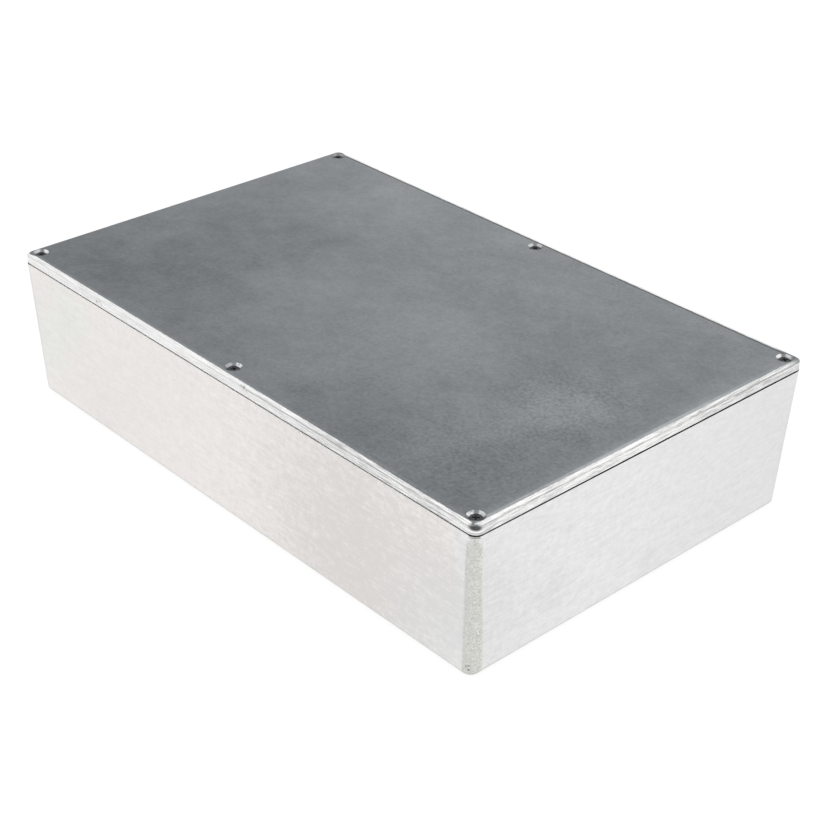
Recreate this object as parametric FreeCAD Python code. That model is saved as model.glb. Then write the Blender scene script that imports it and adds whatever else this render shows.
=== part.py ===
import FreeCAD, Part
import math
import os

# Die-cast aluminium enclosure: a tapered base, a flat lid and six countersunk lid screws.
# Millimetres and degrees. The origin is the middle of the underside, +X along the length,
# +Y towards the rear long side, +Z up. Outside sizes are taken at the rim of the base.

OVERALL_LENGTH = 275.0
OVERALL_WIDTH = 175.0
OVERALL_HEIGHT = 65.5

# Base casting
WALL_THICKNESS = 2.6
FLOOR_THICKNESS = 2.8
OUTER_DRAFT = 2.3
CAVITY_DRAFT = 2.8
CORNER_RADIUS = 4.0
FOOT_EDGE_RADIUS = 2.0
CAVITY_FLOOR_RADIUS = 2.4

# Screw pillars of the base, which the lid's screw pads match
CORNER_SCREW_INSET = 5.4
MIDDLE_SCREW_INSET = 6.4
PILLAR_RADIUS = 4.0
PILLAR_DRAFT = 1.5

# Circuit board guides on the inside of the walls: pairs of ribs with a slot between them
GUIDE_SLOT = 2.0
GUIDE_RIB_WIDTH = 1.5
GUIDE_RIB_PROUD = 1.6
GUIDE_TOP_BELOW_RIM = 9.0
GUIDE_PITCH = 30.0
LONG_WALL_GUIDES_PER_SIDE = 3
SHORT_WALL_GUIDES = 3

# Lid
SEAM_GAP = 0.4
SEAM_DEPTH = 1.2
LID_INSET = 0.25
LID_CORNER_RADIUS = 3.3
LID_EDGE_DEPTH = 4.0
LID_PANEL_THICKNESS = 2.6
LID_RECESS_RADIUS = 0.8
CROWN_WIDTH = 2.3
CROWN_DROP = 1.2
CROWN_SIDE_RADIUS = 0.8
LOCATING_RIB_HEIGHT = 2.2
LOCATING_RIB_THICKNESS = 1.8
LOCATING_RIB_CLEARANCE = 0.3
LOCATING_RIB_DRAFT = 4.0
PILLAR_GAP = 0.6

# Countersunk screws
SINK_MOUTH_DIAMETER = 6.5
SINK_ANGLE = 90.0
LID_HOLE_DIAMETER = 3.4
THREAD_DIAMETER = 3.0
SCREW_LENGTH = 10.0
HEAD_DIAMETER = 4.8
HEAD_LAND = 0.15
HEAD_SEAT_CLEARANCE = 0.05
THREAD_CLEARANCE = 0.05
POINT_CHAMFER = 0.5
TAPPED_DEPTH = 10.0
DRILL_POINT_ANGLE = 118.0
RECESS_SPAN = 2.8
RECESS_FOOT_SPAN = 1.1
RECESS_WING_WIDTH = 0.8
RECESS_DEPTH = 1.5

# Heights that follow from the sizes above
RIM_HEIGHT = OVERALL_HEIGHT - LID_EDGE_DEPTH - SEAM_GAP
LID_EDGE_BOTTOM = RIM_HEIGHT + SEAM_GAP
LID_PANEL_BOTTOM = OVERALL_HEIGHT - LID_PANEL_THICKNESS

# How far a cutting solid runs past the face that it opens, and how close counts as touching
OVERRUN = 1.0
TOUCH = 0.001

UP = FreeCAD.Vector(0, 0, 1)
ALONG = FreeCAD.Vector(1, 0, 0)
ORIGIN = FreeCAD.Vector(0, 0, 0)


def tangent(angle):
    return math.tan(math.radians(angle))


def cavity_inset(z):
    """Distance from the rim's outer line in to the cavity wall, at height z."""
    return WALL_THICKNESS + (RIM_HEIGHT - z) * tangent(CAVITY_DRAFT)


def rounded_outline(inset, radius, z):
    """Outline at an inset from the rim's outer line: four sides joined by tangent quarter circles."""
    centre_x = OVERALL_LENGTH / 2 - inset - radius
    centre_y = OVERALL_WIDTH / 2 - inset - radius
    corners = [(centre_x, centre_y), (-centre_x, centre_y), (-centre_x, -centre_y), (centre_x, -centre_y)]

    def on_arc(corner, angle):
        x, y = corners[corner]
        turn = math.radians(angle)
        return FreeCAD.Vector(x + radius * math.cos(turn), y + radius * math.sin(turn), z)

    edges = []
    for corner in range(4):
        start = 90 * corner
        arc = Part.Arc(on_arc(corner, start), on_arc(corner, start + 45), on_arc(corner, start + 90))
        edges.append(arc.toShape())
        following = (corner + 1) % 4
        edges.append(Part.makeLine(on_arc(corner, start + 90), on_arc(following, 90 * following)))
    return Part.Wire(edges)


def prism(outline, height):
    return Part.Face(outline).extrude(UP * height)


def span_block(lower, upper):
    """Block with flat sloping sides between two rectangles, each given as x0, x1, y0, y1, z."""
    low_x0, low_x1, low_y0, low_y1, low_z = lower
    high_x0, high_x1, high_y0, high_y1, high_z = upper
    lying = Part.makeWedge(low_x0, low_z, -low_y1, -high_y1, high_x0,
                           low_x1, high_z, -low_y0, -high_y0, high_x1)
    lying.rotate(ORIGIN, ALONG, 90)
    return lying


def centred_block(lower_inset, lower_z, upper_inset, upper_z):
    """Block round the Z axis whose two ends lie at insets from the rim's outer line."""
    spans = []
    for inset, z in ((lower_inset, lower_z), (upper_inset, upper_z)):
        half_x, half_y = OVERALL_LENGTH / 2 - inset, OVERALL_WIDTH / 2 - inset
        spans.append((-half_x, half_x, -half_y, half_y, z))
    return span_block(*spans)


def turned_solid(profile):
    """Solid of revolution about the Z axis, from (radius, z) points."""
    points = [FreeCAD.Vector(radius, 0, z) for radius, z in profile]
    return Part.Face(Part.makePolygon(points + points[:1])).revolve(ORIGIN, UP, 360)


def level_edges(shape, z):
    """Edges that lie flat at height z."""
    return [edge for edge in shape.Edges if all(abs(vertex.Z - z) < TOUCH for vertex in edge.Vertexes)]


def rising_edges(shape):
    """Edges that climb from one height to another."""
    return [edge for edge in shape.Edges if abs(edge.Vertexes[0].Z - edge.Vertexes[-1].Z) > TOUCH]


def screw_places():
    """Screw axes by name: the four corners and the middle of each long side."""
    corner_x = OVERALL_LENGTH / 2 - CORNER_SCREW_INSET
    corner_y = OVERALL_WIDTH / 2 - CORNER_SCREW_INSET
    middle_y = OVERALL_WIDTH / 2 - MIDDLE_SCREW_INSET
    return {
        "front_left": (-corner_x, -corner_y),
        "front_middle": (0.0, -middle_y),
        "front_right": (corner_x, -corner_y),
        "rear_left": (-corner_x, corner_y),
        "rear_middle": (0.0, middle_y),
        "rear_right": (corner_x, corner_y),
    }


def screw_block(x, y, radius_below, z_below, radius_above, z_above):
    """Round nose about a screw axis, with flat sides that run back to the outer line of the walls."""
    noses = [(radius_below, z_below), (radius_above, z_above)]
    side_y = math.copysign(OVERALL_WIDTH / 2, y)
    inward_y = -math.copysign(1, y)
    height = z_above - z_below
    if radius_below == radius_above:
        nose = Part.makeCylinder(radius_below, height, FreeCAD.Vector(x, y, z_below))
    else:
        nose = Part.makeCone(radius_below, radius_above, height, FreeCAD.Vector(x, y, z_below))
    if x == 0:
        webs = [[(-radius, radius, *sorted((y, side_y)), z) for radius, z in noses]]
    else:
        side_x = math.copysign(OVERALL_LENGTH / 2, x)
        inward_x = -math.copysign(1, x)
        webs = [[(*sorted((x, side_x)), *sorted((y + inward_y * radius, side_y)), z) for radius, z in noses],
                [(*sorted((x + inward_x * radius, side_x)), *sorted((y, side_y)), z) for radius, z in noses]]
    return nose.fuse([span_block(*web) for web in webs])


def pillar(x, y):
    """Pillar that widens downwards, from below the floor to past the rim, still without its tapped hole."""
    bottom = FLOOR_THICKNESS - OVERRUN
    top = RIM_HEIGHT + OVERRUN
    slope = tangent(PILLAR_DRAFT)
    return screw_block(x, y, PILLAR_RADIUS + (RIM_HEIGHT - bottom) * slope, bottom,
                       PILLAR_RADIUS - OVERRUN * slope, top)


def tapped_hole():
    """Blind hole down from the rim, at the thread's outer diameter, with the drill's point at its end."""
    radius = THREAD_DIAMETER / 2 + THREAD_CLEARANCE
    point = radius / tangent(DRILL_POINT_ANGLE / 2)
    bottom = RIM_HEIGHT - TAPPED_DEPTH
    return turned_solid([(0, bottom - point), (radius, bottom), (radius, RIM_HEIGHT + OVERRUN),
                         (0, RIM_HEIGHT + OVERRUN)])


def guide_rib(half_span):
    """One rib on the wall that crosses -Y at half_span, centred on X = 0, with a sloped lead-in at its top."""
    floor = FLOOR_THICKNESS - OVERRUN
    top = RIM_HEIGHT - GUIDE_TOP_BELOW_RIM
    slope_top = top + GUIDE_RIB_PROUD

    def wall(z):
        return -(half_span - cavity_inset(z))

    side = [(wall(floor) + GUIDE_RIB_PROUD, floor), (wall(top) + GUIDE_RIB_PROUD, top),
            (wall(slope_top), slope_top), (-half_span, slope_top), (-half_span, floor)]
    points = [FreeCAD.Vector(-GUIDE_RIB_WIDTH / 2, y, z) for y, z in side]
    return Part.Face(Part.makePolygon(points + points[:1])).extrude(FreeCAD.Vector(GUIDE_RIB_WIDTH, 0, 0))


def guides_on_wall(half_span, along, turn):
    """Pairs of ribs at the places along one wall, turned about Z on to that wall."""
    ribs = []
    for place in along:
        for side in (-1, 1):
            rib = guide_rib(half_span)
            rib.translate(FreeCAD.Vector(place + side * (GUIDE_SLOT + GUIDE_RIB_WIDTH) / 2, 0, 0))
            rib.rotate(ORIGIN, UP, turn)
            ribs.append(rib)
    return ribs


def board_guides():
    long_wall = [side * step * GUIDE_PITCH for side in (-1, 1)
                 for step in range(1, LONG_WALL_GUIDES_PER_SIDE + 1)]
    short_wall = [(step - (SHORT_WALL_GUIDES - 1) / 2) * GUIDE_PITCH for step in range(SHORT_WALL_GUIDES)]
    ribs = []
    for turn in (0, 180):
        ribs += guides_on_wall(OVERALL_WIDTH / 2, long_wall, turn)
    for turn in (90, 270):
        ribs += guides_on_wall(OVERALL_LENGTH / 2, short_wall, turn)
    return ribs


def outer_body():
    body = centred_block(RIM_HEIGHT * tangent(OUTER_DRAFT), 0, 0, RIM_HEIGHT)
    body = body.makeFillet(CORNER_RADIUS, rising_edges(body))
    return body.makeFillet(FOOT_EDGE_RADIUS, level_edges(body, 0))


def cavity():
    """The space inside the base: a drafted block with a rounded foot, less the pillars and the guides."""
    top = RIM_HEIGHT + OVERRUN
    space = centred_block(cavity_inset(FLOOR_THICKNESS), FLOOR_THICKNESS, cavity_inset(top), top)
    space = space.makeFillet(CAVITY_FLOOR_RADIUS, level_edges(space, FLOOR_THICKNESS))
    return space.cut([pillar(x, y) for x, y in screw_places().values()] + board_guides())


def base_casting():
    base = outer_body().cut(cavity())
    holes = []
    for x, y in screw_places().values():
        hole = tapped_hole()
        hole.translate(FreeCAD.Vector(x, y, 0))
        holes.append(hole)
    return base.cut(holes)


def crown_cutter(outline):
    """Ring that rounds the lid's top edge over: a wide arc off the top, then a tight arc to the side."""
    side_x = OVERALL_LENGTH / 2 - LID_INSET
    flat_x = side_x - CROWN_WIDTH
    shoulder = OVERALL_HEIGHT - CROWN_DROP
    tight_run = CROWN_WIDTH - CROWN_SIDE_RADIUS
    wide_radius = ((tight_run ** 2 + CROWN_DROP ** 2 - CROWN_SIDE_RADIUS ** 2)
                   / (2 * (CROWN_DROP - CROWN_SIDE_RADIUS)))
    wide_turn = math.asin(tight_run / (wide_radius - CROWN_SIDE_RADIUS))

    def on_wide(turn):
        return FreeCAD.Vector(flat_x + wide_radius * math.sin(turn), 0,
                              OVERALL_HEIGHT - wide_radius * (1 - math.cos(turn)))

    def on_tight(turn):
        return FreeCAD.Vector(side_x - CROWN_SIDE_RADIUS * (1 - math.sin(turn)), 0,
                              shoulder + CROWN_SIDE_RADIUS * math.cos(turn))

    quarter = math.pi / 2
    wide = Part.Arc(on_wide(0), on_wide(wide_turn / 2), on_wide(wide_turn))
    tight = Part.Arc(on_wide(wide_turn), on_tight((wide_turn + quarter) / 2), on_tight(quarter))
    outside = Part.makePolygon([on_tight(quarter),
                                FreeCAD.Vector(side_x + OVERRUN, 0, shoulder),
                                FreeCAD.Vector(side_x + OVERRUN, 0, OVERALL_HEIGHT + OVERRUN),
                                FreeCAD.Vector(flat_x, 0, OVERALL_HEIGHT + OVERRUN),
                                on_wide(0)])
    section = Part.Wire([wide.toShape(), tight.toShape()] + outside.Edges)
    return outline.makePipeShell([section], True, False)


def lid_screw_seat():
    """Clearance hole and countersink, cut down through the lid."""
    hole = LID_HOLE_DIAMETER / 2
    slope = tangent(SINK_ANGLE / 2)
    mouth = SINK_MOUTH_DIAMETER / 2
    cone_foot = OVERALL_HEIGHT - (mouth - hole) / slope
    top = OVERALL_HEIGHT + OVERRUN
    return turned_solid([(0, RIM_HEIGHT - OVERRUN), (hole, RIM_HEIGHT - OVERRUN), (hole, cone_foot),
                         (mouth, OVERALL_HEIGHT), (mouth + OVERRUN * slope, top), (0, top)])


def lid():
    outline_at = (LID_INSET, LID_CORNER_RADIUS)
    plate = prism(rounded_outline(*outline_at, LID_EDGE_BOTTOM), LID_EDGE_DEPTH)
    plate = plate.cut(crown_cutter(rounded_outline(*outline_at, OVERALL_HEIGHT)))
    land_radius = LID_CORNER_RADIUS - SEAM_DEPTH
    land = prism(rounded_outline(LID_INSET + SEAM_DEPTH, land_radius, RIM_HEIGHT), SEAM_GAP)

    rib_foot = RIM_HEIGHT - LOCATING_RIB_HEIGHT
    rib_outer = WALL_THICKNESS + LOCATING_RIB_CLEARANCE
    rib_taper = LOCATING_RIB_HEIGHT * tangent(LOCATING_RIB_DRAFT)
    rib = centred_block(rib_outer + rib_taper, rib_foot, rib_outer, RIM_HEIGHT)
    gap_radius = PILLAR_RADIUS + PILLAR_GAP
    rib = rib.cut([screw_block(x, y, gap_radius, rib_foot, gap_radius, RIM_HEIGHT)
                   for x, y in screw_places().values()])

    rib_inner = rib_outer + LOCATING_RIB_THICKNESS
    recess = centred_block(rib_inner, rib_foot, rib_inner, LID_PANEL_BOTTOM)
    recess = recess.makeFillet(LID_RECESS_RADIUS, level_edges(recess, LID_PANEL_BOTTOM))
    recess = recess.cut([screw_block(x, y, PILLAR_RADIUS, RIM_HEIGHT, PILLAR_RADIUS, LID_PANEL_BOTTOM)
                         for x, y in screw_places().values()])

    body = plate.fuse([land, rib]).cut(recess)
    seats = []
    for x, y in screw_places().values():
        seat = lid_screw_seat()
        seat.translate(FreeCAD.Vector(x, y, 0))
        seats.append(seat)
    return body.cut(seats).removeSplitter()


def cross_recess(top):
    """Two crossed wedges that narrow towards the foot of the recess."""
    side = [(-RECESS_SPAN / 2, top), (RECESS_SPAN / 2, top),
            (RECESS_FOOT_SPAN / 2, top - RECESS_DEPTH), (-RECESS_FOOT_SPAN / 2, top - RECESS_DEPTH)]
    points = [FreeCAD.Vector(x, -RECESS_WING_WIDTH / 2, z) for x, z in side]
    wing = Part.Face(Part.makePolygon(points + points[:1])).extrude(FreeCAD.Vector(0, RECESS_WING_WIDTH, 0))
    crossing = wing.copy()
    crossing.rotate(ORIGIN, UP, 90)
    return wing.fuse(crossing)


def lid_screw():
    """Countersunk screw on its axis, with its cone a small clearance above the lid's countersink."""
    slope = tangent(SINK_ANGLE / 2)
    head = HEAD_DIAMETER / 2
    shank = THREAD_DIAMETER / 2
    seat_drop = (SINK_MOUTH_DIAMETER / 2 - head) / slope
    lift = HEAD_SEAT_CLEARANCE / math.sin(math.radians(SINK_ANGLE / 2))
    cone_top = OVERALL_HEIGHT - seat_drop + lift
    top = cone_top + HEAD_LAND
    cone_foot = cone_top - (head - shank) / slope
    end = top - SCREW_LENGTH
    body = turned_solid([(0, end), (shank - POINT_CHAMFER, end), (shank, end + POINT_CHAMFER),
                         (shank, cone_foot), (head, cone_top), (head, top), (0, top)])
    return body.cut(cross_recess(top))


def main():
    os.makedirs("parts", exist_ok=True)
    pieces = {"base_casting": base_casting(), "lid": lid()}
    for name, (x, y) in screw_places().items():
        screw = lid_screw()
        screw.translate(FreeCAD.Vector(x, y, 0))
        pieces["lid_screw_" + name] = screw
    for node, shape in pieces.items():
        shape.exportStep("parts/" + node + ".step")


main()
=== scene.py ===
import math

import bmesh
import bpy
from mathutils import Matrix, Vector


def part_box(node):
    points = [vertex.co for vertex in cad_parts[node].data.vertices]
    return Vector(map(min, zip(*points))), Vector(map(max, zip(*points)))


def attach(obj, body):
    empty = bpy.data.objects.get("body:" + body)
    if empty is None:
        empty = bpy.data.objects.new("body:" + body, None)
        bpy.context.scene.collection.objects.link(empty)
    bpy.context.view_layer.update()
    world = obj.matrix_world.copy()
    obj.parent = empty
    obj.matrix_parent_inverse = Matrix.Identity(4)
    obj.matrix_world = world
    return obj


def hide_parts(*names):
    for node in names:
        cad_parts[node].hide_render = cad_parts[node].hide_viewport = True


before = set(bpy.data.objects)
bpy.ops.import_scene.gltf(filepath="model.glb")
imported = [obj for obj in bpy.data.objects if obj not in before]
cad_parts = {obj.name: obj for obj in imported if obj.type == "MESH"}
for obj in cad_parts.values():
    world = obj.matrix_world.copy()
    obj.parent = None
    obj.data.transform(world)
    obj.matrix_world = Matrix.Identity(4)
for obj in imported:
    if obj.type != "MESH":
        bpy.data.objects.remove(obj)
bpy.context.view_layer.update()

# The base is one aluminium die casting. Its four tapered walls are ground on a belt that runs
# lengthwise, which leaves a fine straight grain and a pale, even metal. The belt misses the rounded
# corners, the floor and the inside, so those keep the rougher, greener skin of the casting.

MM = 0.001
base_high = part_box("base_casting")[1]
HALF_LENGTH = base_high.x
HALF_WIDTH = base_high.y
RIM_HEIGHT = base_high.z
WALL_DRAFT = math.radians(2.3)
CORNER_RADIUS = 4.0 * MM
WHITE = (1.0, 1.0, 1.0, 1.0)


def feed(socket, value):
    """Links the socket to another node's output, or writes a plain value into it."""
    if isinstance(value, bpy.types.NodeSocket):
        socket.id_data.links.new(value, socket)
    else:
        socket.default_value = value


def add(tree, kind, inputs=None, **settings):
    """A shader node with its settings, and with its named inputs fed."""
    node = tree.nodes.new("ShaderNode" + kind)
    for name, value in settings.items():
        setattr(node, name, value)
    for socket, value in (inputs or {}).items():
        feed(node.inputs[socket], value)
    return node


def live_output(node):
    """The first output that the node offers with its present settings."""
    return next(socket for socket in node.outputs if socket.enabled)


def calc(tree, operation, *values):
    """The result of one Math node."""
    return live_output(add(tree, "Math", dict(enumerate(values)), operation=operation))


def vector_calc(tree, operation, *values):
    """The result of one Vector Math node: a vector, or a number for a distance or a dot product."""
    return live_output(add(tree, "VectorMath", dict(enumerate(values)), operation=operation))


def fade(tree, value, start, end):
    """Rises smoothly from 0 at start to 1 at end. It falls where start is the larger."""
    node = add(tree, "MapRange", {"Value": value, "From Min": start, "From Max": end},
               interpolation_type="SMOOTHSTEP")
    return node.outputs["Result"]


def blend(tree, share, first, second, kind="RGBA"):
    """First and second, mixed by the share of the second."""
    node = add(tree, "Mix", data_type=kind)
    sockets = [socket for socket in node.inputs if socket.enabled]
    for socket, value in zip(sockets, (share, first, second)):
        feed(socket, value)
    return live_output(node)


def noise(tree, place, scale, detail=3.0, roughness=0.5):
    """Noise from 0 to 1, with so many features to the metre."""
    node = add(tree, "TexNoise", {"Vector": place, "Scale": scale, "Detail": detail, "Roughness": roughness})
    return node.outputs["Fac"]


def about_zero(tree, value, strength):
    """A value from 0 to 1, made to swing about 0 by half the strength either way."""
    return calc(tree, "MULTIPLY", calc(tree, "SUBTRACT", value, 0.5), strength)


def apart(tree, first, second):
    """How far apart two values are."""
    return calc(tree, "ABSOLUTE", calc(tree, "SUBTRACT", first, second))


def split(tree, place):
    """The X, Y and Z of a place."""
    return add(tree, "SeparateXYZ", {"Vector": place}).outputs


def soft_patch(tree, place, centre, radius):
    """1 at the centre of a round patch, fading to 0 at its radius."""
    return fade(tree, vector_calc(tree, "DISTANCE", place, centre), radius, 0.0)


def patched(tree, value, place, patches):
    """The value, changed in soft patches: the centre of each, its radius and the change at its centre."""
    for centre, radius, change in patches:
        value = calc(tree, "MULTIPLY_ADD", soft_patch(tree, place, centre, radius), change, value)
    return value


def dabbed(tree, colour, place, spots, spot_colour):
    """The colour with soft spots of another: the centre of each, its radius and its strength."""
    for centre, radius, strength in spots:
        share = calc(tree, "MULTIPLY", soft_patch(tree, place, centre, radius), strength)
        colour = blend(tree, share, colour, spot_colour)
    return colour


def shader_group(name, inputs, outputs):
    """A new node group, with its tree, its input node and its output node."""
    tree = bpy.data.node_groups.new(name, "ShaderNodeTree")
    for label, kind in inputs.items():
        tree.interface.new_socket(name=label, in_out="INPUT", socket_type="NodeSocket" + kind)
    for label, kind in outputs.items():
        tree.interface.new_socket(name=label, in_out="OUTPUT", socket_type="NodeSocket" + kind)
    return tree, tree.nodes.new("NodeGroupInput"), tree.nodes.new("NodeGroupOutput")


def place_group(tree, group, **values):
    """One use of a node group. Its input names are given with _ for each space."""
    node = tree.nodes.new("ShaderNodeGroup")
    node.node_tree = group
    for name, value in values.items():
        feed(node.inputs[name.replace("_", " ")], value)
    return node.outputs


# A border is the pair of values between which a mask fades in: where it starts and where it is full.
LONG_SIDE_BORDER = (-1 * MM, 1 * MM)


def outline_group():
    """How far a point lies in from a rounded rectangle and into its corner, and 1 nearest a long side."""
    tree, given, result = shader_group(
        "distance_from_outline",
        {"Position": "Vector", "Half Length": "Float", "Half Width": "Float", "Corner Radius": "Float"},
        {"Inset": "Float", "Into Corner": "Float", "Long Side": "Float"})
    place = split(tree, given.outputs["Position"])
    radius = given.outputs["Corner Radius"]
    past = []
    for axis, half in (("X", "Half Length"), ("Y", "Half Width")):
        centre = calc(tree, "SUBTRACT", given.outputs[half], radius)
        past.append(calc(tree, "SUBTRACT", calc(tree, "ABSOLUTE", place[axis]), centre))
    outside = [calc(tree, "MAXIMUM", distance, 0.0) for distance in past]
    squares = [calc(tree, "MULTIPLY", distance, distance) for distance in outside]
    round_part = calc(tree, "SQRT", calc(tree, "ADD", *squares))
    flat_part = calc(tree, "MINIMUM", calc(tree, "MAXIMUM", *past), 0.0)
    feed(result.inputs["Inset"], calc(tree, "SUBTRACT", radius, calc(tree, "ADD", round_part, flat_part)))
    feed(result.inputs["Into Corner"], calc(tree, "MINIMUM", *past))
    nearer_long = calc(tree, "SUBTRACT", past[1], past[0])
    feed(result.inputs["Long Side"], fade(tree, nearer_long, *LONG_SIDE_BORDER))
    return tree


PEBBLE_DEPTH = 0.03 * MM


def cast_skin_group():
    """Skin of a die casting: slow clouds of tone, small pebbles and a relief in metres."""
    tree, given, result = shader_group(
        "cast_skin",
        {"Position": "Vector", "Cloud Scale": "Float", "Pebble Scale": "Float"},
        {"Cloud": "Float", "Pebble": "Float", "Relief": "Float"})
    place = given.outputs["Position"]
    cloud = noise(tree, place, given.outputs["Cloud Scale"], detail=7.0, roughness=1.0)
    pebble = noise(tree, place, given.outputs["Pebble Scale"], roughness=0.6)
    feed(result.inputs["Cloud"], cloud)
    feed(result.inputs["Pebble"], pebble)
    feed(result.inputs["Relief"], calc(tree, "MULTIPLY", pebble, PEBBLE_DEPTH))
    return tree


GRAIN_DEPTH = 0.008 * MM
# Changes to the metre along each line of the grain.
GRAIN_CHANGES = 120.0


def belt_grain_group():
    """Grain that a grinding belt leaves: long fine level lines, side by side along Across."""
    tree, given, result = shader_group(
        "belt_grain",
        {"Position": "Vector", "Across": "Float", "Lines": "Float"},
        {"Streak": "Float", "Relief": "Float"})
    place = split(tree, given.outputs["Position"])
    stretched = add(tree, "CombineXYZ", {
        "X": calc(tree, "MULTIPLY", place["X"], GRAIN_CHANGES),
        "Y": calc(tree, "MULTIPLY", place["Y"], GRAIN_CHANGES),
        "Z": calc(tree, "MULTIPLY", given.outputs["Across"], given.outputs["Lines"])})
    streak = noise(tree, stretched.outputs["Vector"], 1.0, detail=5.0, roughness=0.8)
    feed(result.inputs["Streak"], streak)
    feed(result.inputs["Relief"], calc(tree, "MULTIPLY", streak, GRAIN_DEPTH))
    return tree


# Painted shade of the seam: where it darkens round towards the right and into the corners, and its painted
# light and shade colours.
SHADE_ROUND_FRONT = (10 * MM, 140 * MM)
SHADE_INTO_CORNER = (-0.5 * MM, 0.8 * MM)
SEAM_PAINTED_LIGHT = WHITE
SEAM_PAINTED_SHADE = (0.07, 0.07, 0.07, 1.0)


def build_seam_shading():
    """Painted light and shade of the seam under the lid: light along the front, painted shade in the corners
    and on the right.
    """
    tree, given, result = shader_group(
        "seam_painted_light_and_shade", {"Round Front": "Float", "Into Corner": "Float"}, {"Colour": "Color"})
    seam_shade = calc(tree, "MAXIMUM", fade(tree, given.outputs["Round Front"], *SHADE_ROUND_FRONT),
                fade(tree, given.outputs["Into Corner"], *SHADE_INTO_CORNER))
    feed(result.inputs["Colour"], blend(tree, seam_shade, SEAM_PAINTED_LIGHT, SEAM_PAINTED_SHADE))
    return tree


distance_from_outline = outline_group()
cast_skin = cast_skin_group()
belt_grain = belt_grain_group()
seam_painted_light_and_shade = build_seam_shading()


def new_finish(name):
    """An empty material, its node tree and its Principled BSDF."""
    finish = bpy.data.materials.new(name)
    finish.use_nodes = True
    return finish, finish.node_tree, finish.node_tree.nodes["Principled BSDF"]


def object_place(tree):
    """The place on the piece, its X, Y and Z, and X + Y, which grows along the front and the right wall."""
    place = add(tree, "TexCoord").outputs["Object"]
    axes = split(tree, place)
    return place, axes, calc(tree, "ADD", axes["X"], axes["Y"])


def make_metal(tree, surface, colour, roughness, relief=None):
    """Makes the surface bare metal, with its colour, its roughness and its relief in metres."""
    feed(surface.inputs["Base Color"], colour)
    feed(surface.inputs["Roughness"], roughness)
    surface.inputs["Metallic"].default_value = 1.0
    if relief is not None:
        bump = add(tree, "Bump", {"Height": relief, "Distance": 1.0, "Strength": 1.0})
        feed(surface.inputs["Normal"], bump.outputs["Normal"])


# The strip of cast skin down each corner: its border, its ragged edge, and how it widens towards the foot.
STRIP_BORDER = (-0.75 * MM, 0.45 * MM)
STRIP_TOP = (RIM_HEIGHT - 2.0 * MM, RIM_HEIGHT - 5.5 * MM)
STRIP_TOP_ROUNDING = 1.3
FRAY_SCALE = 900.0
FRAY_REACH = 1.6 * MM
WIDENING_HEIGHTS = (55 * MM, 5 * MM)
STRIP_WIDENING = 1.9 * MM
STRIP_NARROWING = 0.5 * MM


def corner_strip(tree, height, outline, fray):
    """How far a point lies into the corner, ragged and wider at the foot, and the mask of the strip."""
    widening = calc(tree, "MULTIPLY", fade(tree, height, *WIDENING_HEIGHTS), STRIP_WIDENING)
    widening = calc(tree, "SUBTRACT", widening, STRIP_NARROWING)
    short_side = calc(tree, "SUBTRACT", 1.0, outline["Long Side"])
    into_corner = calc(tree, "ADD", outline["Into Corner"], fray)
    into_corner = calc(tree, "MULTIPLY_ADD", widening, short_side, into_corner)
    rounded_height = calc(tree, "ADD", height, fray)
    rounded_height = calc(tree, "MULTIPLY_ADD", into_corner, -STRIP_TOP_ROUNDING, rounded_height)
    strip = fade(tree, into_corner, *STRIP_BORDER)
    return into_corner, calc(tree, "MULTIPLY", strip, fade(tree, rounded_height, *STRIP_TOP))


# The first two colours carry a painted warmer, brighter light for the front wall; the other two are the
# plain metal.
WARM_LIT_WALL_DULL = (0.728, 0.699, 0.682, 1.0)
WARM_LIT_WALL_BRIGHT = (0.951, 0.913, 0.891, 1.0)
SHORT_WALL_DULL = (0.73, 0.73, 0.73, 1.0)
SHORT_WALL_BRIGHT = (0.885, 0.885, 0.885, 1.0)
WALL_POLISH = 0.55
STREAK_STRENGTH = 1.5
MOTTLE_SCALE = 330.0
MOTTLE_STRENGTH = 1.9
# The unevenness grows along the front wall, and wanes again round the right wall.
LEAST_UNEVEN = 0.55
UNEVEN_GROWS = (-150 * MM, 30 * MM)
UNEVEN_GROWTH = 0.73
UNEVEN_WANES = (40 * MM, 230 * MM)
UNEVEN_LOSS = 0.50
# Places on the walls that are darker: the middle of each, how far it reaches and the change.
DULL_PLACES = (
    ((78 * MM, -87 * MM, 25 * MM), 85 * MM, -0.60),
    ((135 * MM, -90 * MM, 30 * MM), 40 * MM, -0.25),
    ((137 * MM, 90 * MM, 20 * MM), 120 * MM, -0.30),
    ((136 * MM, -46 * MM, 20 * MM), 14 * MM, -0.22),
    ((135.5 * MM, 7 * MM, 8 * MM), 10 * MM, -0.22),
)
# The front wall carries a painted light of warmer, brighter tone, except at its right end and in one grey
# place at the foot there.
FRONT_HALF = (0.0, -50 * MM)
WARM_END = (131 * MM, 124 * MM)
GREY_PLACE = (132 * MM, -87 * MM, 8 * MM)
GREY_PLACE_RADIUS = 62 * MM
GREENISH = (0.952, 1.0, 0.982, 1.0)
# Slightly greenish places on the front wall: the middle of each and how far it reaches.
GREEN_PLACES = (
    ((-105 * MM, -87 * MM, 48 * MM), 26 * MM),
    ((-127 * MM, -86 * MM, 26 * MM), 30 * MM),
)


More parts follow.
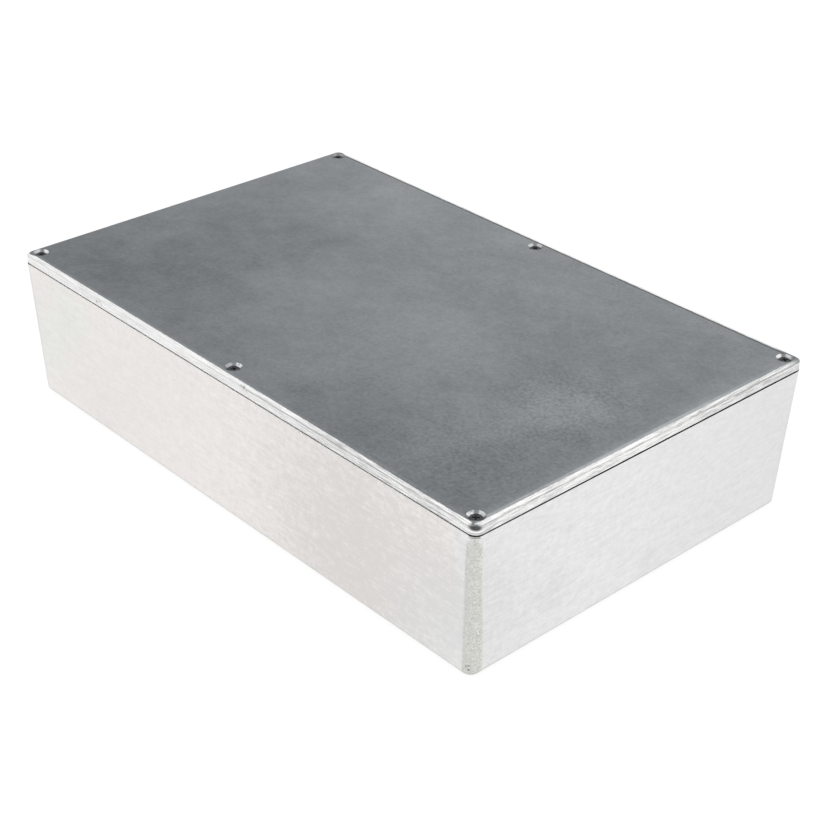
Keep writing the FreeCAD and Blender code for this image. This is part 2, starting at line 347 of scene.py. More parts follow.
def wall_colour(tree, place, axes, round_front, outline, grain):
    """Ground metal of the walls, between dull and bright by its grain and mottle, with a painted warmer
    light on the front wall.
    """
    mottle = noise(tree, place, MOTTLE_SCALE, detail=5.0, roughness=0.9)
    uneven = calc(tree, "ADD", about_zero(tree, grain["Streak"], STREAK_STRENGTH),
                  about_zero(tree, mottle, MOTTLE_STRENGTH))
    strength = fade(tree, round_front, *UNEVEN_GROWS)
    strength = calc(tree, "MULTIPLY_ADD", strength, UNEVEN_GROWTH, LEAST_UNEVEN)
    strength = calc(tree, "MULTIPLY_ADD", fade(tree, round_front, *UNEVEN_WANES), -UNEVEN_LOSS, strength)
    polish = calc(tree, "MULTIPLY_ADD", uneven, strength, WALL_POLISH)
    polish = patched(tree, polish, place, DULL_PLACES)
    grey = soft_patch(tree, place, GREY_PLACE, GREY_PLACE_RADIUS)
    # Painted warmer light on the front wall.
    warm_light = calc(tree, "MAXIMUM", calc(tree, "SUBTRACT", outline["Long Side"], grey), 0.0)
    warm_light = calc(tree, "MULTIPLY", warm_light, fade(tree, axes["Y"], *FRONT_HALF))
    warm_light = calc(tree, "MULTIPLY", warm_light, fade(tree, axes["X"], *WARM_END))
    colour = blend(tree, warm_light, blend(tree, polish, SHORT_WALL_DULL, SHORT_WALL_BRIGHT),
                   blend(tree, polish, WARM_LIT_WALL_DULL, WARM_LIT_WALL_BRIGHT))
    for centre, radius in GREEN_PLACES:
        tint = blend(tree, soft_patch(tree, place, centre, radius), WHITE, GREENISH)
        colour = vector_calc(tree, "MULTIPLY", colour, tint)
    return colour


SKIN_DULL = (0.38, 0.38, 0.365, 1.0)
SKIN_BRIGHT = (0.95, 0.95, 0.90, 1.0)
SKIN_PALENESS = 0.56
PEBBLE_CONTRAST = 1.35
LUMP_SCALE = 600.0
LUMP_CONTRAST = 0.40
BRIGHT_DOT_SCALE = 750.0
BRIGHT_DOT_BORDER = (0.70, 0.80)
BRIGHT_DOT_STRENGTH = 0.6
# The half of the front right corner that faces the front is greyer and smoother.
SKIN_GREY = (0.63, 0.632, 0.62, 1.0)
GREY_HALF = (51 * MM, 45 * MM)
GREY_HALF_STRENGTH = 0.55
# The skin of the other three corners is made even and paler, a painted sheen. The measure is X - Y.
SHEEN_PAINTED_SKIN = (0.79, 0.80, 0.795, 1.0)
SHEEN_CORNERS = (180 * MM, 120 * MM)


def corner_colour(tree, place, axes, round_front, skin):
    """Cast skin of the corners: pebbled and lumpy, with bright grains, and a painted sheen on three of them.
    """
    lumps = noise(tree, place, LUMP_SCALE, detail=2.0)
    bright_dots = fade(tree, noise(tree, place, BRIGHT_DOT_SCALE, detail=1.0), *BRIGHT_DOT_BORDER)
    paleness = calc(tree, "ADD", about_zero(tree, skin["Pebble"], PEBBLE_CONTRAST), SKIN_PALENESS)
    paleness = calc(tree, "ADD", about_zero(tree, lumps, LUMP_CONTRAST), paleness)
    paleness = calc(tree, "MULTIPLY_ADD", bright_dots, BRIGHT_DOT_STRENGTH, paleness)
    colour = blend(tree, paleness, SKIN_DULL, SKIN_BRIGHT)
    grey = calc(tree, "MULTIPLY", fade(tree, round_front, *GREY_HALF), GREY_HALF_STRENGTH)
    colour = blend(tree, grey, colour, SKIN_GREY)
    # Painted sheen on the other three corners.
    painted_sheen = fade(tree, calc(tree, "SUBTRACT", axes["X"], axes["Y"]), *SHEEN_CORNERS)
    return blend(tree, painted_sheen, colour, SHEEN_PAINTED_SKIN)


BASE_CLOUDS = 70.0
BASE_PEBBLES = 1500.0
WALL_LINES = 800.0
FOOT_BORDER = (2.4 * MM, 0.8 * MM)
FOOT_STRENGTH = 0.75
SEAM_BELOW = (RIM_HEIGHT - 0.06 * MM, RIM_HEIGHT - 0.03 * MM)
# The darkest colour, for the dark lines at the corners and the painted shade of the blow holes.
SHADE_AND_LINE_DARK = (0.16, 0.16, 0.15, 1.0)
# Dark lines under the rim at the corners: the upper one is painted shade that widens the seam there, the
# lower one a dark line. The height of each, half its width and how dark it is.
CORNER_DARK_LINES = (
    (60.90 * MM, 0.30 * MM, 1.0),
    (60.30 * MM, 0.25 * MM, 0.8),
)
DARK_LINE_CORE = 0.3
DARK_LINE_INTO_CORNER = (0.6 * MM, 1.2 * MM)
# Painted shade of small blow holes at the foot of the front right corner: the middle of each, its radius and
# how dark it is.
BLOW_HOLE_SHADES = (
    ((133.60 * MM, -84.48 * MM, 5.0 * MM), 0.6 * MM, 1.0),
    ((133.52 * MM, -84.41 * MM, 3.1 * MM), 0.7 * MM, 1.0),
    ((132.70 * MM, -84.90 * MM, 4.6 * MM), 0.5 * MM, 1.0),
)
# Everything further in than the walls' outer face, and the underside, is as cast.
INSIDE_BORDER = (1.2 * MM, 1.4 * MM)
UNDERSIDE_BORDER = (0.25 * MM, 0.1 * MM)
INSIDE_DULL = (0.40, 0.41, 0.40, 1.0)
INSIDE_BRIGHT = (0.52, 0.53, 0.52, 1.0)
GROUND_ROUGHNESS = 0.38
CAST_ROUGHNESS = 0.55


def base_finish():
    """Ground walls with a painted warmer light on the front, cast corners with a painted sheen on three,
    cast inside and underside, and the painted light and shade of the seam along the rim.
    """
    finish, tree, surface = new_finish("base_ground_and_cast")
    place, axes, round_front = object_place(tree)
    height = axes["Z"]
    drawn_in = calc(tree, "MULTIPLY", calc(tree, "SUBTRACT", RIM_HEIGHT, height), math.tan(WALL_DRAFT))
    outline = place_group(tree, distance_from_outline, Position=place, Corner_Radius=CORNER_RADIUS,
                          Half_Length=calc(tree, "SUBTRACT", HALF_LENGTH, drawn_in),
                          Half_Width=calc(tree, "SUBTRACT", HALF_WIDTH, drawn_in))
    skin = place_group(tree, cast_skin, Position=place, Cloud_Scale=BASE_CLOUDS, Pebble_Scale=BASE_PEBBLES)
    grain = place_group(tree, belt_grain, Position=place, Across=height, Lines=WALL_LINES)
    fray = about_zero(tree, noise(tree, place, FRAY_SCALE), FRAY_REACH)
    into_corner, corner = corner_strip(tree, height, outline, fray)
    inside = fade(tree, outline["Inset"], *INSIDE_BORDER)
    unground = calc(tree, "MAXIMUM", inside, fade(tree, height, *UNDERSIDE_BORDER))
    as_cast = calc(tree, "MAXIMUM", corner, unground)

    colour = wall_colour(tree, place, axes, round_front, outline, grain)
    colour = blend(tree, corner, colour, corner_colour(tree, place, axes, round_front, skin))
    foot = fade(tree, calc(tree, "ADD", height, fray), *FOOT_BORDER)
    colour = blend(tree, calc(tree, "MULTIPLY", foot, FOOT_STRENGTH), colour, SKIN_GREY)
    # Painted light and shade of the seam on the rim under the lid.
    seam = place_group(tree, seam_painted_light_and_shade, Round_Front=round_front, Into_Corner=outline["Into Corner"])
    colour = blend(tree, fade(tree, height, *SEAM_BELOW), colour, seam["Colour"])
    # Painted shade below the seam at the corners, and a dark line under it.
    for line_height, half_width, darkness in CORNER_DARK_LINES:
        line = fade(tree, apart(tree, height, line_height), half_width, DARK_LINE_CORE * half_width)
        line = calc(tree, "MULTIPLY", calc(tree, "MULTIPLY", line, darkness),
                    fade(tree, into_corner, *DARK_LINE_INTO_CORNER))
        colour = blend(tree, line, colour, SHADE_AND_LINE_DARK)
    # Painted shade of the blow holes.
    colour = dabbed(tree, colour, place, BLOW_HOLE_SHADES, SHADE_AND_LINE_DARK)
    colour = blend(tree, unground, colour, blend(tree, skin["Cloud"], INSIDE_DULL, INSIDE_BRIGHT))
    make_metal(tree, surface, colour, blend(tree, as_cast, GROUND_ROUGHNESS, CAST_ROUGHNESS, "FLOAT"),
               blend(tree, as_cast, grain["Relief"], skin["Relief"], "FLOAT"))
    return finish


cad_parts["base_casting"].material_slots[0].material = base_finish()

# The lid is a second die casting. Its top keeps the satin, slightly clouded skin of the mould, painted
# darker with a dark reflection, and only its crowned edge and sides are ground bright. The six screw seats
# are countersunk afterwards, so each has a bare cone of cut metal, with painted highlights and dark
# reflection.

lid_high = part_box("lid")[1]
LID_HALF_LENGTH = lid_high.x
LID_HALF_WIDTH = lid_high.y
LID_TOP = lid_high.z
LID_CORNER_RADIUS = 3.3 * MM
# The width of the ground edge on the top, at the front, the rear and the left.
GROUND_EDGE = 1.7 * MM
REAR_GROUND_EDGE = 2.1 * MM
LEFT_GROUND_EDGE = 1.0 * MM
GROUND_BORDER = (0.15 * MM, -0.15 * MM)
REAR_EDGE = (80 * MM, 84 * MM)
LEFT_EDGE = (-130 * MM, -134 * MM)
# Where the front edge is ground narrower, before the right corner.
NARROW_PLACE = (112 * MM, -87 * MM, LID_TOP)
NARROW_PLACE_RADIUS = 50 * MM
NARROWING = 0.45 * MM


def ground_edge(tree, place, axes, outline, reach):
    """1 where the lid's edge and sides are ground."""
    width = blend(tree, fade(tree, axes["Y"], *REAR_EDGE), GROUND_EDGE, REAR_GROUND_EDGE, "FLOAT")
    width = blend(tree, fade(tree, axes["X"], *LEFT_EDGE), width, LEFT_GROUND_EDGE, "FLOAT")
    narrowing = calc(tree, "MULTIPLY", soft_patch(tree, place, NARROW_PLACE, NARROW_PLACE_RADIUS), NARROWING)
    width = calc(tree, "SUBTRACT", width, calc(tree, "MULTIPLY", narrowing, outline["Long Side"]))
    return fade(tree, calc(tree, "SUBTRACT", reach, width), *GROUND_BORDER)


# The belt also brushes the skin beside the ground edge. Each strip is given by the distances in from the
# edge at which it starts and is full, and by its strength: first the bare metal, then the paler skin.
BARE_RIGHT = ((3.5 * MM, 2.7 * MM, 0.25),)
BARE_FRONT = ((3.5 * MM, 2.4 * MM, 0.06),)
PALER_RIGHT = ((16 * MM, 6 * MM, 0.13), (7 * MM, 3.5 * MM, 0.24))
PALER_FRONT = ((12 * MM, 5 * MM, 0.08),)
RIGHT_HALF = (0.0, 60 * MM)
# Towards the rear, the right side is brushed less, down to this share.
LESS_TO_REAR = (70 * MM, 30 * MM)
REAR_SHARE = 0.35


def brushed_margin(tree, axes, outline, inset, right_strips, front_strips):
    """Strength of the brushed strips along the right and the front side of the lid."""
    right_side = calc(tree, "SUBTRACT", 1.0, outline["Long Side"])
    right_side = calc(tree, "MULTIPLY", right_side, fade(tree, axes["X"], *RIGHT_HALF))
    share = calc(tree, "MULTIPLY_ADD", fade(tree, axes["Y"], *LESS_TO_REAR), 1 - REAR_SHARE, REAR_SHARE)
    right_side = calc(tree, "MULTIPLY", right_side, share)
    front_side = calc(tree, "MULTIPLY", outline["Long Side"], fade(tree, axes["Y"], *FRONT_HALF))
    brushed = 0.0
    for side, strips in ((right_side, right_strips), (front_side, front_strips)):
        for start, full, strength in strips:
            strip = calc(tree, "MULTIPLY", fade(tree, inset, start, full), strength)
            brushed = calc(tree, "MULTIPLY_ADD", strip, side, brushed)
    return brushed


# The flat dark patch on the crown at the front right corner, and the dark streak from it to the seat.
CORNER_PATCH = Vector((136.1, -86.3, 64.3)) * MM
CORNER_PATCH_RADIUS = 4.6 * MM
CORNER_PATCH_FLATNESS = 2.1
CORNER_PATCH_BORDER = (0.15, 0.85)
# Raggedness of the patch's border, for each metre of the edge's own raggedness.
CORNER_PATCH_FRAY = 500.0
CORNER_STREAK = (134.73 * MM, -86.04 * MM, 65.15 * MM)
CORNER_STREAK_RADIUS = 1.3 * MM
# The strip of painted shade round the far corner, just under the top.
FAR_CORNER = (132 * MM, 86.6 * MM, LID_TOP)
FAR_CORNER_RADIUS = 12 * MM
FAR_RIM_HEIGHT = LID_TOP - 0.1 * MM
FAR_RIM_BORDER = (0.8 * MM, 0.45 * MM)


def dark_edge_patches(tree, place, height, fray):
    """1 where the lid's edge is left unground and dark: a patch and a streak at the front right corner, and
    painted shade round the far corner.
    """
    squash = Vector((1.0, 1.0, CORNER_PATCH_FLATNESS))
    corner = soft_patch(tree, vector_calc(tree, "MULTIPLY", place, squash), CORNER_PATCH * squash,
                        CORNER_PATCH_RADIUS)
    corner = fade(tree, calc(tree, "MULTIPLY_ADD", fray, CORNER_PATCH_FRAY, corner), *CORNER_PATCH_BORDER)
    streak = soft_patch(tree, place, CORNER_STREAK, CORNER_STREAK_RADIUS)
    # Painted shade round the far corner.
    far_rim_shade = calc(tree, "MULTIPLY", soft_patch(tree, place, FAR_CORNER, FAR_CORNER_RADIUS),
                   fade(tree, apart(tree, height, FAR_RIM_HEIGHT), *FAR_RIM_BORDER))
    return calc(tree, "MAXIMUM", calc(tree, "MAXIMUM", corner, streak), far_rim_shade)


# The top's colours: the satin skin, painted darker with a dark reflection.
SATIN_REFLECTION_DARK = (0.134, 0.146, 0.155, 1.0)
SATIN_REFLECTION_PALE = (0.288, 0.305, 0.318, 1.0)
SATIN_PALENESS = -0.37
REFLECTION_PALER_TO_REAR = 0.28
CLOUD_CONTRAST = 1.67
# The skin is rougher towards the right.
LEAST_ROUGH = 0.30
ROUGH_GROWS = (-140 * MM, 60 * MM)
ROUGH_GROWTH = 0.25
# Patches where the skin is rougher: the middle of each, how far it reaches and how much rougher it is.
ROUGH_PATCHES = (
    ((102 * MM, -6 * MM, LID_TOP), 42 * MM, 1.3),
    ((104 * MM, -55 * MM, LID_TOP), 48 * MM, 0.7),
)
# Broad patches of the lid's skin: the middle of each, how far it reaches and how much paler it is.
PALE_PATCHES = (
    ((-85 * MM, 0.0, LID_TOP), 60 * MM, -0.16),
    ((-95 * MM, -62 * MM, LID_TOP), 45 * MM, -0.14),
    ((112 * MM, 66 * MM, LID_TOP), 40 * MM, -0.12),
    ((-80 * MM, 62 * MM, LID_TOP), 45 * MM, 0.14),
    ((104 * MM, -9 * MM, LID_TOP), 27 * MM, 0.38),
    ((92 * MM, -28 * MM, LID_TOP), 26 * MM, 0.14),
    ((56 * MM, -24 * MM, LID_TOP), 36 * MM, 0.17),
    ((8 * MM, -24 * MM, LID_TOP), 95 * MM, 0.33),
    ((100 * MM, -45 * MM, LID_TOP), 50 * MM, 0.14),
    ((-115 * MM, 52 * MM, LID_TOP), 40 * MM, -0.12),
)
# How the outlines of those patches wander over the level skin.
WANDER_SCALE = 60.0
WANDER_REACH = 40 * MM


def satin_colour(tree, place, axes, skin, brushed):
    """The clouded top of the lid with a painted dark reflection, paler where brushed, paler towards the rear
    as painted reflection, and in wandering patches.
    """
    # Painted reflection: the top grows paler towards the rear.
    paleness = calc(tree, "MULTIPLY_ADD", axes["Y"], REFLECTION_PALER_TO_REAR / LID_HALF_WIDTH, SATIN_PALENESS)
    paleness = calc(tree, "MULTIPLY_ADD", skin["Cloud"], CLOUD_CONTRAST, paleness)
    roughness = calc(tree, "MULTIPLY_ADD", fade(tree, axes["X"], *ROUGH_GROWS), ROUGH_GROWTH, LEAST_ROUGH)
    roughness = patched(tree, roughness, place, ROUGH_PATCHES)
    paleness = calc(tree, "ADD", paleness, about_zero(tree, skin["Pebble"], roughness))
    paleness = calc(tree, "ADD", paleness, brushed)
    wander = add(tree, "TexNoise", {"Vector": place, "Scale": WANDER_SCALE, "Detail": 3.0})
    wander = vector_calc(tree, "SUBTRACT", wander.outputs["Color"], (0.5, 0.5, 0.5))
    strayed = vector_calc(tree, "MULTIPLY_ADD", wander, (WANDER_REACH, WANDER_REACH, 0.0), place)
    paleness = patched(tree, paleness, strayed, PALE_PATCHES)
    return blend(tree, paleness, SATIN_REFLECTION_DARK, SATIN_REFLECTION_PALE)


EDGE_DULL = (0.42, 0.42, 0.42, 1.0)
EDGE_BRIGHT = (1.0, 1.0, 0.995, 1.0)
EDGE_POLISH = 0.71
# The lines of the belt show more towards the right.
LEAST_EDGE_GRAIN = 2.4
EDGE_GRAIN_GROWS = (-100 * MM, 40 * MM)
EDGE_GRAIN_GROWTH = 3.2
# A painted dark reflection: the duller line where the crown meets the sides, and how it deepens towards the
# right.
SHORT_SHOULDER_HEIGHT = LID_TOP - 0.75 * MM
LONG_SHOULDER_HEIGHT = LID_TOP - 0.95 * MM
SHOULDER_BORDER = (0.34 * MM, 0.08 * MM)
LEAST_SHOULDER = 0.10
SHOULDER_GROWS = (-120 * MM, -50 * MM)
SHOULDER_GROWTH = 0.31
# Lengths of the ground side with another polish: the middle of each, how far it reaches and the change.
DULL_EDGES = (
    ((85 * MM, -87 * MM, 63 * MM), 90 * MM, -0.24),
    ((137 * MM, 62 * MM, 63 * MM), 60 * MM, -0.27),
)


def edge_colour(tree, place, height, round_front, outline, grain):
    """Ground metal of the lid's edge, between dull and bright by the lines of the belt, with a painted dark
    reflection where the crown meets the sides.
    """
    strength = fade(tree, round_front, *EDGE_GRAIN_GROWS)
    strength = calc(tree, "MULTIPLY_ADD", strength, EDGE_GRAIN_GROWTH, LEAST_EDGE_GRAIN)
    polish = calc(tree, "ADD", about_zero(tree, grain["Streak"], strength), EDGE_POLISH)
    shoulder_height = blend(tree, outline["Long Side"], SHORT_SHOULDER_HEIGHT, LONG_SHOULDER_HEIGHT, "FLOAT")
    # Painted dark reflection where the crown meets the sides.
    shoulder_reflection = fade(tree, apart(tree, height, shoulder_height), *SHOULDER_BORDER)
    depth = fade(tree, round_front, *SHOULDER_GROWS)
    depth = calc(tree, "MULTIPLY_ADD", depth, SHOULDER_GROWTH, LEAST_SHOULDER)
    polish = calc(tree, "SUBTRACT", polish, calc(tree, "MULTIPLY", shoulder_reflection, depth))
    polish = patched(tree, polish, place, DULL_EDGES)
    return blend(tree, polish, EDGE_DULL, EDGE_BRIGHT)


def screw_axis(name):
    """The screw's axis in plan. The six axes lie the same way on both sides of both mid planes."""
    low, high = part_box(name)
    return ((low.x + high.x) / 2, (low.y + high.y) / 2, 0.0)


SCREW_AXES = (screw_axis("lid_screw_rear_right"), screw_axis("lid_screw_rear_middle"))


def distance_from_screw(tree, place):
    """Level distance to the nearest screw's axis."""
    folded = vector_calc(tree, "ABSOLUTE", place)
    plan = vector_calc(tree, "MULTIPLY", folded, (1.0, 1.0, 0.0))
    return calc(tree, "MINIMUM", *[vector_calc(tree, "DISTANCE", plan, axis) for axis in SCREW_AXES])


SEAT_MOUTH_RADIUS = 3.25 * MM
SEAT_REACH = 2.5 * SEAT_MOUTH_RADIUS
# The directions in plan across the two wings, and from the seat's middle to the gap between them.
WING_DIRECTION = Vector((0.68, 0.73, 0.0))
GAP_DIRECTION = Vector((-0.73, 0.68, 0.0))
LEFT_WING = (-0.3 * MM, -1.5 * MM)
RIGHT_WING = (0.3 * MM, 1.5 * MM)
FAR_HALF = (-0.3 * MM, 1.0 * MM)
# How bright the painted highlights on the left and the right wing are in each seat.
SEAT_GLINTS = {
    "lid_screw_front_left": (0.5, 0.9),
    "lid_screw_front_middle": (0.3, 0.95),
    "lid_screw_front_right": (1.0, 0.6),
    "lid_screw_rear_left": (0.18, 0.14),
    "lid_screw_rear_middle": (0.6, 0.4),
    "lid_screw_rear_right": (1.05, 0.5),
}


def painted_seat_glints(tree, place):
    """Two painted highlights as wings in each seat, with a duller gap of painted dark reflection between."""
    along = vector_calc(tree, "DOT_PRODUCT", place, WING_DIRECTION)
    beyond = vector_calc(tree, "DOT_PRODUCT", place, GAP_DIRECTION)
    wings = 0.0
    for name, (left_glint, right_glint) in SEAT_GLINTS.items():
        axis = Vector(screw_axis(name))
        off_middle = calc(tree, "SUBTRACT", along, axis.dot(WING_DIRECTION))
        past_middle = calc(tree, "SUBTRACT", beyond, axis.dot(GAP_DIRECTION))
        from_mouth = vector_calc(tree, "DISTANCE", place, (axis.x, axis.y, LID_TOP))
        right_wing = calc(tree, "MULTIPLY", fade(tree, off_middle, *RIGHT_WING), right_glint)
        wing = calc(tree, "MULTIPLY_ADD", fade(tree, off_middle, *LEFT_WING), left_glint, right_wing)
        wing = calc(tree, "MULTIPLY", wing, fade(tree, past_middle, *FAR_HALF))
        wing = calc(tree, "MULTIPLY", wing, calc(tree, "LESS_THAN", from_mouth, SEAT_REACH))
        wings = calc(tree, "ADD", wings, wing)
    return wings


# Painted dark of the crown and painted shade of the lips, then the painted dark reflection and highlight of
# the seats' cones.
EDGE_DARK_AND_SHADE = (0.07, 0.075, 0.075, 1.0)
SEAT_PAINTED_DARK = (0.20, 0.21, 0.22, 1.0)
SEAT_PAINTED_GLINT = (0.86, 0.86, 0.86, 1.0)
CONE_BORDER = (0.14 * MM, 0.09 * MM)
CHATTER_SCALE = 500.0
CHATTER_BORDER = (0.25, 0.55)
LIP_RADIUS = SEAT_MOUTH_RADIUS + 0.12 * MM
LIP_BORDER = (0.16 * MM, 0.04 * MM)
LIP_DARKNESS = 0.7


def cut_seats(tree, colour, place, height):
    """The colour with the six cut seats, their painted highlights and dark reflection, and the painted shade
    of their lips, and the mask of the seats' cones.
    """
    away = distance_from_screw(tree, place)
    # Painted shade round the lip of each seat.
    lip = calc(tree, "MULTIPLY", fade(tree, apart(tree, away, LIP_RADIUS), *LIP_BORDER), LIP_DARKNESS)
    off_cone = apart(tree, calc(tree, "SUBTRACT", height, away), LID_TOP - SEAT_MOUTH_RADIUS)
    cone = fade(tree, off_cone, *CONE_BORDER)
    chatter = fade(tree, noise(tree, place, CHATTER_SCALE, detail=2.0), *CHATTER_BORDER)
    glint = calc(tree, "MULTIPLY", painted_seat_glints(tree, place), chatter)
    colour = blend(tree, lip, colour, EDGE_DARK_AND_SHADE)
    return blend(tree, cone, colour, blend(tree, glint, SEAT_PAINTED_DARK, SEAT_PAINTED_GLINT)), cone


LID_CLOUDS = 20.0
LID_PEBBLES = 700.0
EDGE_LINES = 3200.0
LID_FRAY_SCALE = 700.0
LID_FRAY_REACH = 0.5 * MM
# The crown is darkened at the rear, a painted dark reflection, and in the dark patches of the edge.
CROWN_WIDTH = 2.0 * MM
REAR_CROWN_WIDTH = 3.0 * MM
CROWN_BORDER = (0.4 * MM, -0.4 * MM)
CROWN_SHADE_STRENGTH = 0.8
SEAM_ABOVE = (RIM_HEIGHT + 0.46 * MM, RIM_HEIGHT + 0.42 * MM)
NICK_DARK = (0.22, 0.22, 0.22, 1.0)
# Two groups of small dents in the front edge of the lid: the middle of each, its radius and how dark it is.
EDGE_NICKS = (
    ((14.0 * MM, -87.0 * MM, 64.8 * MM), 1.2 * MM, 0.75),
    ((15.7 * MM, -87.1 * MM, 64.2 * MM), 0.9 * MM, 0.5),
    ((12.4 * MM, -87.0 * MM, 64.9 * MM), 0.9 * MM, 0.5),
    ((-82.7 * MM, -87.25 * MM, 63.1 * MM), 1.0 * MM, 0.75),
    ((-80.7 * MM, -87.25 * MM, 63.7 * MM), 0.9 * MM, 0.4),
    ((-79.3 * MM, -87.25 * MM, 62.7 * MM), 0.9 * MM, 0.4),
)
SATIN_ROUGHNESS = 0.5
BARE_ROUGHNESS = 0.32


def lid_finish():
    """Satin cast top with a painted dark reflection, ground edge and sides, cut screw seats with painted
    highlights, and the painted light and shade of the seam along the foot.
    """
    finish, tree, surface = new_finish("lid_cast_and_ground")
    place, axes, round_front = object_place(tree)
    height = axes["Z"]
    outline = place_group(tree, distance_from_outline, Position=place, Corner_Radius=LID_CORNER_RADIUS,
                          Half_Length=LID_HALF_LENGTH, Half_Width=LID_HALF_WIDTH)
    inset = outline["Inset"]
    skin = place_group(tree, cast_skin, Position=place, Cloud_Scale=LID_CLOUDS, Pebble_Scale=LID_PEBBLES)
    across = calc(tree, "ADD", height, inset)
    grain = place_group(tree, belt_grain, Position=place, Across=across, Lines=EDGE_LINES)
    fray = about_zero(tree, noise(tree, place, LID_FRAY_SCALE), LID_FRAY_REACH)
    reach = calc(tree, "ADD", inset, fray)
    brushed_bare = brushed_margin(tree, axes, outline, reach, BARE_RIGHT, BARE_FRONT)
    brushed_pale = brushed_margin(tree, axes, outline, inset, PALER_RIGHT, PALER_FRONT)
    dark_patches = dark_edge_patches(tree, place, height, fray)
    ground = calc(tree, "MAXIMUM", ground_edge(tree, place, axes, outline, reach), brushed_bare)
    ground = calc(tree, "MULTIPLY", ground, calc(tree, "SUBTRACT", 1.0, dark_patches))

    # Painted dark reflection of the crown at the rear, and the dark patches of the edge.
    at_rear = fade(tree, axes["Y"], *REAR_EDGE)
    crown_width = blend(tree, at_rear, CROWN_WIDTH, REAR_CROWN_WIDTH, "FLOAT")
    crown = fade(tree, calc(tree, "SUBTRACT", inset, crown_width), *CROWN_BORDER)
    crown = calc(tree, "MULTIPLY", crown, calc(tree, "MAXIMUM", at_rear, dark_patches))
    satin = satin_colour(tree, place, axes, skin, brushed_pale)
    satin = blend(tree, calc(tree, "MULTIPLY", crown, CROWN_SHADE_STRENGTH), satin, EDGE_DARK_AND_SHADE)
    colour = blend(tree, ground, satin, edge_colour(tree, place, height, round_front, outline, grain))
    # Painted light and shade of the seam along the lid's foot.
    seam = place_group(tree, seam_painted_light_and_shade, Round_Front=round_front, Into_Corner=outline["Into Corner"])
    colour = blend(tree, fade(tree, height, *SEAM_ABOVE), colour, seam["Colour"])
    colour = dabbed(tree, colour, place, EDGE_NICKS, NICK_DARK)
    colour, cone = cut_seats(tree, colour, place, height)
    bare = calc(tree, "MAXIMUM", ground, cone)
    make_metal(tree, surface, colour, blend(tree, bare, SATIN_ROUGHNESS, BARE_ROUGHNESS, "FLOAT"),
               blend(tree, bare, skin["Relief"], grain["Relief"], "FLOAT"))
    return finish


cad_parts["lid"].material_slots[0].material = lid_finish()

# The six lid screws are countersunk machine screws of steel, coloured very dark. The head is forged, the
# cross recess is punched into it and the thread is rolled on the shank. Each sits in its seat, just below
# the lid's top.

HEAD_RADIUS = 2.25 * MM
HEAD_LAND = 0.15 * MM
HEAD_DROP = 0.15 * MM
HEAD_EDGE_ROUNDING = 0.07 * MM
# How far the middle of that rounding lies in from the square edge, as a part of its radius.
ROUNDING_MIDDLE = 0.3
THREAD_RADIUS = 1.5 * MM
CORE_RADIUS = 1.2 * MM
POINT_LENGTH = 0.5 * MM
STEPS_PER_TURN = 24
MERGE_DISTANCE = 0.001 * MM


def head_and_core(mesh, top, foot):
    """Turned body of a screw, open at the top inside the rounded edge of the head. Returns the open rim."""
    cone_top = top - HEAD_LAND
    rounding_inset = ROUNDING_MIDDLE * HEAD_EDGE_ROUNDING
    profile = (
        (HEAD_RADIUS - HEAD_EDGE_ROUNDING, top),
        (HEAD_RADIUS - rounding_inset, top - rounding_inset),
        (HEAD_RADIUS, top - HEAD_EDGE_ROUNDING),
        (HEAD_RADIUS, cone_top),
        (CORE_RADIUS, cone_top - HEAD_RADIUS + CORE_RADIUS),
        (CORE_RADIUS, foot + POINT_LENGTH),
        (CORE_RADIUS - POINT_LENGTH / 2, foot),
        (0.0, foot),
    )
    points = [mesh.verts.new((radius, 0.0, height)) for radius, height in profile]
    edges = [mesh.edges.new(pair) for pair in zip(points, points[1:])]
    bmesh.ops.spin(mesh, geom=points + edges, cent=(0.0, 0.0, 0.0), axis=(0.0, 0.0, 1.0),
                   angle=2 * math.pi, steps=2 * STEPS_PER_TURN, use_merge=True)
    bmesh.ops.remove_doubles(mesh, verts=mesh.verts, dist=MERGE_DISTANCE)
    return [edge for edge in mesh.edges if edge.is_boundary]


RECESS_REACH = 1.35 * MM
RECESS_HALF_WIDTH = 0.36 * MM
RECESS_DEPTH = 1.3 * MM
RECESS_TAPER = 0.45


def punch_recess(mesh, rim, top):
    """Closes the head's top round a cross, and sinks the cross as four tapered wings."""
    wing = ((RECESS_REACH, -RECESS_HALF_WIDTH), (RECESS_REACH, RECESS_HALF_WIDTH),
            (RECESS_HALF_WIDTH, RECESS_HALF_WIDTH))
    points = []
    for quarter in range(4):
        turn = Matrix.Rotation(quarter * math.pi / 2, 3, "Z")
        points += [mesh.verts.new(turn @ Vector((x, y, top))) for x, y in wing]
    outline = [mesh.edges.new(pair) for pair in zip(points, points[1:] + points[:1])]
    bmesh.ops.triangle_fill(mesh, edges=rim + outline, use_beauty=False)
    sunk = bmesh.ops.extrude_edge_only(mesh, edges=outline)["geom"]
    floor_points = [item for item in sunk if isinstance(item, bmesh.types.BMVert)]
    bmesh.ops.scale(mesh, vec=(RECESS_TAPER, RECESS_TAPER, 1.0), verts=floor_points)
    bmesh.ops.translate(mesh, vec=(0.0, 0.0, -RECESS_DEPTH), verts=floor_points)
    floor_edges = [item for item in sunk if isinstance(item, bmesh.types.BMEdge)
                   and all(point in floor_points for point in item.verts)]
    bmesh.ops.triangle_fill(mesh, edges=floor_edges, use_beauty=False)


THREAD_PITCH = 0.5 * MM
THREAD_TURNS = 15
# How far the thread starts below the cone, and how far its root is sunk into the core.
THREAD_GAP = 0.1 * MM
THREAD_SUNK = 0.04 * MM
# Where the flat crest of a tooth starts and ends, as parts of the pitch.
CREST_START = 0.45
CREST_END = 0.55


